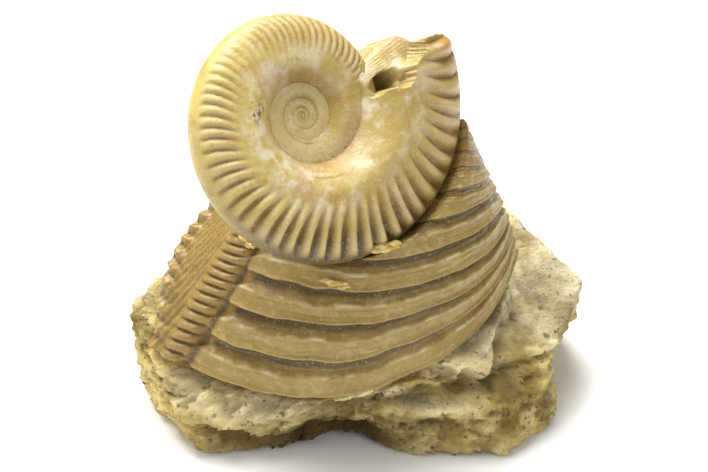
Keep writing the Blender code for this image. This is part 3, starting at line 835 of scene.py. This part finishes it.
# %% Build the stone
SKIN_GAP, LEAST_GAP = 0.9, 0.45  # mm from the valve to the smooth and the rough stone
blocks = [block_reach(rays, block) for block in (LOWER_BLOCK, UPPER_SLAB, CORE)]
reach = JOIN_MM * np.log(sum(np.exp(block / JOIN_MM) for block in blocks))
lift, stone_marks = stone_relief(STONE_HEART + rays * reach[:, None])
soft = np.minimum(reach, roof - SKIN_GAP).reshape(STONE_ROWS, STONE_COLUMNS)
for _ in range(3):
    soft = (soft + np.roll(soft, 1, axis=1) + np.roll(soft, -1, axis=1)) / 3.0
    soft[1:-1] = (soft[1:-1] + soft[:-2] + soft[2:]) / 3.0
reach = np.minimum(soft.ravel() + lift, roof - LEAST_GAP)
stone_points = STONE_HEART + rays * reach[:, None]
stone_points[:, 2] = np.maximum(stone_points[:, 2], 0.0)
stone_ids = np.arange(len(rays)).reshape(soft.shape)
poles = stone_points[stone_ids[[0, -1]]].mean(axis=1)
ring = np.concatenate([stone_ids, stone_ids[:, :1]], axis=1)
stone_quads = [grid_quads(ring), fan(ring[0], len(rays)), fan(ring[-1], len(rays) + 1)]
stone = mesh_piece("limestone_chip", [stone_points, poles], stone_quads, stone_marks)

# %% [markdown]
# ## Crumbs of sediment
#
# A few grains of the stone were left on the shells when they were cleaned: a sliver on the
# carina, and yellow crumbs caught under the ribs. Each is a small lumpy globe, laid along
# its rib.

# %% Crumbs
# Each crumb is (valve size, valve angle, half sizes in mm along the rib, across it, out).
CRUMBS = (
    (0.550, 225.1, (1.5, 0.5, 0.6)), (0.556, 226.8, (0.9, 0.5, 0.5)),
    (0.529, 257.8, (1.5, 0.6, 0.5)), (0.526, 259.9, (1, 0.5, 0.45)),
    (0.533, 255.9, (1, 0.45, 0.4)), (0.590, 247.6, (1.3, 0.5, 0.45)),
    (0.596, 249.6, (0.9, 0.4, 0.4)), (0.588, 245.8, (0.8, 0.35, 0.4)),
)
globe = globe_grid(24, 36)
crumb_points, crumb_quads = [], []
for number, (grown, angle, half) in enumerate(CRUMBS):
    ring = growth_point(grown * np.array([[1.0, 1.0], [0.98, 0.98]]),
                        np.array([[angle, angle + 1.0]] * 2))
    ring = slope_to_object(ring)
    along_rib = ring[0, 1] - ring[0, 0]
    along_rib /= np.linalg.norm(along_rib)
    across_rib = ring[1, 0] - ring[0, 0]
    away = np.cross(across_rib, along_rib)
    away /= np.linalg.norm(away) * np.sign(away[2])
    axes = np.stack([along_rib, np.cross(away, along_rib), away])
    body = globe * (1.0 + 0.35 * rough(globe * 2.0 + 9.0 * number, 1.2, 3, 101)[..., None])
    crumb_quads.append(grid_quads(numbered(globe, number * globe[..., 0].size)))
    crumb_points.append(ring[0, 0] + 0.55 * away + (body * half) @ axes)
crumbs = mesh_piece("sediment_crumbs", crumb_points, crumb_quads, {})

# %% [markdown]
# ## Materials
#
# All three are calcium carbonate, and look different because of grain. The shells became
# clear coarse calcite that lets a little light in and takes a waxy polish. The stone is a
# matt mud of tiny grains. One function turns screen colours to linear light, and one adds
# a node with its settings and links.

# %% Material helpers


def linear(hex_colour):
    """sRGB hex to linear RGBA: the standard curve, channel by channel."""
    parts = np.array([int(hex_colour[i:i + 2], 16) for i in (1, 3, 5)]) / 255.0
    curve = np.where(parts <= 0.04045, parts / 12.92, ((parts + 0.055) / 1.055) ** 2.4)
    return (*curve.tolist(), 1.0)


def add(tree, kind, inputs, out=0, **settings):
    """The output socket of a new node of this kind, its settings made and its inputs set to
    a value, a hex colour or a link. Sockets go by name or by number."""
    made = tree.nodes.new("ShaderNode" + kind)
    for name, value in settings.items():
        setattr(made, name, value)
    for name, value in inputs.items():
        if isinstance(value, bpy.types.NodeSocket):
            tree.links.new(value, made.inputs[name])
        else:
            value = linear(value) if isinstance(value, str) else value
            made.inputs[name].default_value = value
    return made.outputs[out] if made.outputs else None


def mottle(tree, place, size_mm, low, high, shift=0.0):
    """Noise of this size, stretched so that low to high covers 0 to 1."""
    moved = add(tree, "Mapping", {"Vector": place, "Location": (shift, shift, 0.0)})
    noise = add(tree, "TexNoise", {"Vector": moved, "Scale": 1.0 / (size_mm * MM),
                                   "Detail": 6.0})
    return add(tree, "MapRange", {"Value": noise, "From Min": low, "From Max": high},
               interpolation_type="SMOOTHSTEP")


def stained(tree, place, colour, stains):
    """Lay stains over a colour in order. Each is (hex, strength, mark, grain size in mm,
    low, high, shift): it shows as its mark on the piece does, times mottling of that grain,
    and either may be left out."""
    for tint, amount, mark, *grain in stains:
        factors = [add(tree, "Attribute", {}, "Fac", attribute_name=mark)] if mark else []
        factors += [mottle(tree, place, *grain)] if grain else []
        for factor in factors:
            amount = add(tree, "Math", {0: factor, 1: amount}, operation="MULTIPLY",
                         use_clamp=True)
        colour = add(tree, "Mix", {0: amount, 6: colour, 7: tint}, 2, data_type="RGBA")
    return colour


def new_tree(name):
    """(material, its emptied node tree, object coordinates) for a new material."""
    material = bpy.data.materials.new(name)
    material.use_nodes = True
    material.node_tree.nodes.clear()
    return material, material.node_tree, add(material.node_tree, "TexCoord", {}, "Object")


def finish_material(material, inputs):
    """Give a material whose tree is filled a shader with these inputs."""
    tree = material.node_tree
    add(tree, "OutputMaterial", {"Surface": add(tree, "BsdfPrincipled", inputs)})
    print("material:", material.name, len(tree.nodes), "nodes")


def finish_calcite(material, place, colour, gloss, scratch_mm, light):
    """Waxy calcite: roughness that wanders over gloss (size in mm, low, high), scratches as
    bump, and light let in by (weight, radius of each channel, depth in mm)."""
    tree = material.node_tree
    shine = add(tree, "MapRange", {"Value": mottle(tree, place, gloss[0], 0.3, 0.7),
                                   "To Min": gloss[1], "To Max": gloss[2]})
    bump = add(tree, "Bump", {"Height": mottle(tree, place, scratch_mm, 0.2, 0.8, 3.0),
                              "Distance": 0.08 * MM, "Strength": 0.4})
    finish_material(material, {
        "Base Color": colour, "Roughness": shine, "Normal": bump, "IOR": 1.52,
        "Subsurface Weight": light[0], "Subsurface Radius": light[1],
        "Subsurface Scale": light[2] * MM,
    })


# %% [markdown]
# ### Calcite of the ammonite
#
# Tan calcite replaced the shell's own mineral and was then lightly polished, so the tops of
# the ribs shine, and they are also painted lighter as a highlight. The grooves, the underside
# of the rim and the upper wall of the navel are painted darker as shade. White and pink
# clouds, 1 to 5 mm across, show where the calcite is coarse.

# %% Ammonite calcite
calcite, tree, place = new_tree("polished_tan_calcite")
across = add(tree, "SeparateXYZ", {"Vector": place}, "X")
leftness = add(tree, "MapRange", {"Value": across, "From Min": 0.012, "From Max": -0.024})
base = add(tree, "Mix", {0: leftness, 6: "#ae9652", 7: "#d4be6a"}, 2, data_type="RGBA")
colour = stained(tree, place, base, (
    ("#e6dbb8", 1.0, "inner", 3.2, 0.46, 0.66),  # white clouds in coarse calcite
    ("#c9a98a", 0.5, None, 5.0, 0.50, 0.68, 0.03),  # pink clouds
    ("#b98d44", 0.6, None, 2.2, 0.48, 0.70, 0.07),  # ochre iron stains
    ("#d4c284", 0.40, "crest_highlight"),  # painted highlight on the polished rib tops
    # painted shade in the grooves between the ribs
    ("#94692a", 0.75, "groove"),
    ("#4e380f", 0.8, "bottom_groove_shade"),  # painted shade in the grooves on the underside of the coil
    ("#eadfc2", 0.8, "dusty", 1.6, 0.40, 0.66),
    ("#ead8a4", 0.35, "heart"),
    ("#8a6630", 0.75, "wall"),  # painted shade on the upper side of each navel wall
    ("#7c5c26", 0.9, "seam"),
    ("#cfa050", 0.7, "orange"),
    ("#9a6e38", 0.8, "arc"),
    ("#f4ebc8", 1.0, "cream"),
    ("#e8d8a8", 0.6, "plug"),
    ("#6e5a1c", 1.0, "olive"),
    ("#b27a2e", 0.65, "amber"),
    # painted shade on the underside of the rim
    ("#463818", 0.95, "venter_shade"),
    ("#f2e8cc", 0.9, "keel"),
    ("#2e2820", 1.0, "soot", 0.5, 0.53, 0.59, 2.0),
    ("#ece0ba", 0.35, None, 0.35, 0.56, 0.74, 3.0),  # painted glints: pale specks on the grain boundaries
    ("#8f7236", 0.35, None, 0.5, 0.56, 0.72, 4.0),
))
finish_calcite(calcite, place, colour, (1.6, 0.30, 0.52), 0.45, (0.12, (1.0, 0.7, 0.4), 0.6))

# %% [markdown]
# ### Calcite of the clam
#
# The valve is browner and more see-through, like wax. Its ribs are pale along the scratched
# upper shoulder, where a painted highlight is added to the scratches, and honey brown on
# the lip, a painted highlight too. The flat faces of the ribs are painted lighter as lit
# faces, and the hollows between, the line under each lip, the gaps between the carina's
# rings, the ditch beside it and the valleys between the threads are painted darker as shade.

# %% Clam calcite
waxy, tree, place = new_tree("waxy_brown_calcite")
base = add(tree, "Mix", {0: mottle(tree, place, 4.0, 0.35, 0.70), 6: "#886a2a",
                         7: "#a08440"}, 2, data_type="RGBA")
colour = stained(tree, place, base, (
    # painted light: the flat faces of the ribs lighter
    ("#ae9650", 0.5, "lit_band"),
    ("#c4b27c", 0.5, "streak", 1.2, 0.40, 0.70, 0.5),  # growth lines worn pale
    # painted shade in the hollows between the ribs
    ("#4e3a06", 0.9, "hollow"),
    ("#33240a", 0.8, "under_lip_shadow"),  # painted shadow under each lip
    ("#dccb9a", 0.85, "shoulder_scratch_highlight", 2.6, 0.40, 0.64),  # scratches on the rib shoulders, with a painted highlight along them
    # painted highlight along the edge of each lip
    ("#bb9c5a", 0.6, "lip_highlight"),
    ("#9a7c38", 0.7, "keel"),
    # painted shade in the gaps between the carina's rings
    ("#4a3408", 0.95, "ring"),
    ("#b49a54", 0.5, "area"),
    # painted shade between the threads
    ("#6e5426", 0.7, "thread_shade"),
    ("#b09048", 0.5, "knob"),
    # painted shade in the ditch beside the carina
    ("#4e3c10", 0.8, "ditch_shade"),
    ("#d2c08c", 0.4, None, 0.35, 0.56, 0.74, 3.0),
    ("#5e4618", 0.35, None, 0.6, 0.56, 0.74, 6.0),
))
finish_calcite(waxy, place, colour, (1.4, 0.28, 0.50), 0.5, (0.15, (1.0, 0.65, 0.35), 0.7))

# %% [markdown]
# ### Limestone
#
# Hardened lime mud is matt, because its grains scatter light every way. It is cream where a
# break is fresh, tan where iron stained it, and brown in pits where clay stays. Stains are
# 3 to 7 mm and specks under 1 mm.

# %% Limestone
limestone, tree, place = new_tree("mottled_limestone")
base = add(tree, "Mix", {0: mottle(tree, place, 7.0, 0.36, 0.66), 6: "#d8be70",
                         7: "#f8e29a"}, 2, data_type="RGBA")
colour = stained(tree, place, base, (
    ("#fff6cc", 0.95, "slab"),  # the paler upper bed, with painted light on its top
    ("#a07e38", 0.55, None, 4.5, 0.50, 0.66, 0.05),  # iron stains
    # painted shade: darker towards the foot
    ("#a68a42", 0.35, "low"),
    ("#6a501c", 0.95, "rotten", 2.8, 0.34, 0.54, 0.3),
    ("#8a7c4a", 0.35, None, 4.6, 0.52, 0.70, 0.09),  # grey clay
    ("#f4e2a6", 0.6, None, 3.2, 0.48, 0.66, 0.02),  # cream fresh grains
    ("#fff2c0", 0.95, "fresh"),
    # painted shade in the low spots of the relief
    ("#5c4418", 0.6, "deep"),
    ("#44300e", 0.95, "pit"),
    # painted shade in the dents and under the overhang
    ("#3a2a0e", 0.85, "cave_shade"),
    ("#5a421a", 0.7, None, 0.8, 0.60, 0.68, 0.04),  # specks
))
bump = add(tree, "Bump", {"Height": mottle(tree, place, 0.6, 0.2, 0.8),
                          "Distance": 0.25 * MM, "Strength": 0.8})
finish_material(limestone, {
    "Base Color": colour, "Roughness": 0.92, "Normal": bump, "IOR": 1.5,
    "Specular IOR Level": 0.25,
})

# %% Sediment
sediment, tree, place = new_tree("yellow_lime_sediment")
colour = add(tree, "Mix", {0: mottle(tree, place, 0.9, 0.4, 0.65), 6: "#c9a858",
                           7: "#e6d290"}, 2, data_type="RGBA")
bump = add(tree, "Bump", {"Height": mottle(tree, place, 0.4, 0.2, 0.8),
                          "Distance": 0.15 * MM, "Strength": 0.7})
finish_material(sediment, {"Base Color": colour, "Roughness": 0.9, "Normal": bump})

# %% Finish, ride and stand-ins
for piece, material, node, slot in (
    (ammonite, calcite, "ammonite_shell", "ammonite_calcite"),
    (valve, waxy, "trigonia_valve", "clam_calcite"),
    (stone, limestone, "limestone_matrix", "limestone"),
    (crumbs, sediment, "limestone_matrix", "limestone"),
):
    piece.data.materials.append(material)
    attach(piece, "root")
    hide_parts(node)

# %% [markdown]
# ## Table, light and camera
#
# A white sheet and very soft light, from above and a little from the front, leave only a
# grey haze of a shadow round the foot. The camera looks down by the lean of the slope,
# which shows both shells flat on.

# %% Table
bpy.ops.mesh.primitive_plane_add(size=6.0)
table = bpy.context.object
table.name = "white_table"
paper, tree, place = new_tree("matt_white_paper")
finish_material(paper, {
    "Base Color": "#fbfbfa", "Roughness": 0.95, "Specular IOR Level": 0.0,
})
table.data.materials.append(paper)

# %% Light


def softbox(name, place, aim, size, watts):
    """A square area lamp at a place in metres, turned to face the aim."""
    lamp = bpy.data.lights.new(name, "AREA")
    lamp.shape, lamp.size, lamp.energy = "SQUARE", size, watts
    box = add_object(name, lamp)
    box.location = place
    box.rotation_euler = (Vector(aim) - Vector(place)).to_track_quat("-Z", "Y").to_euler()
    print(name, "shines with", watts, "W")


middle = (0.0, 0.0, 0.025)
softbox("top_softbox", (-0.12, 0.20, 0.54), middle, 0.42, 6.4)
softbox("left_softbox", (-0.50, -0.10, 0.40), middle, 0.35, 0.8)
softbox("front_softbox", (0.28, -0.50, 0.42), middle, 0.40, 0.95)
world = bpy.data.worlds.new("white_room")
world.use_nodes = True
world.node_tree.nodes["Background"].inputs["Color"].default_value = (1.0, 1.0, 1.0, 1.0)
world.node_tree.nodes["Background"].inputs["Strength"].default_value = 0.26
bpy.context.scene.world = world
bpy.context.scene.view_settings.view_transform = "Standard"

# %% Camera
DISTANCE = 0.3126  # metres from the slope's zero
aim = Vector((SLOPE_ORIGIN + CENTRING) * MM)
sight = Vector((0.0, math.cos(SLOPE_LEAN), -math.sin(SLOPE_LEAN)))
lens = bpy.data.cameras.new("camera")
lens.lens, lens.sensor_width, lens.clip_start = 120.0, 36.0, 0.01
camera = add_object("camera", lens)
camera.location = aim - sight * DISTANCE
camera.rotation_euler = sight.to_track_quat("-Z", "Y").to_euler()
bpy.context.scene.camera = camera
print("camera at", tuple(round(v, 3) for v in camera.location), "m")
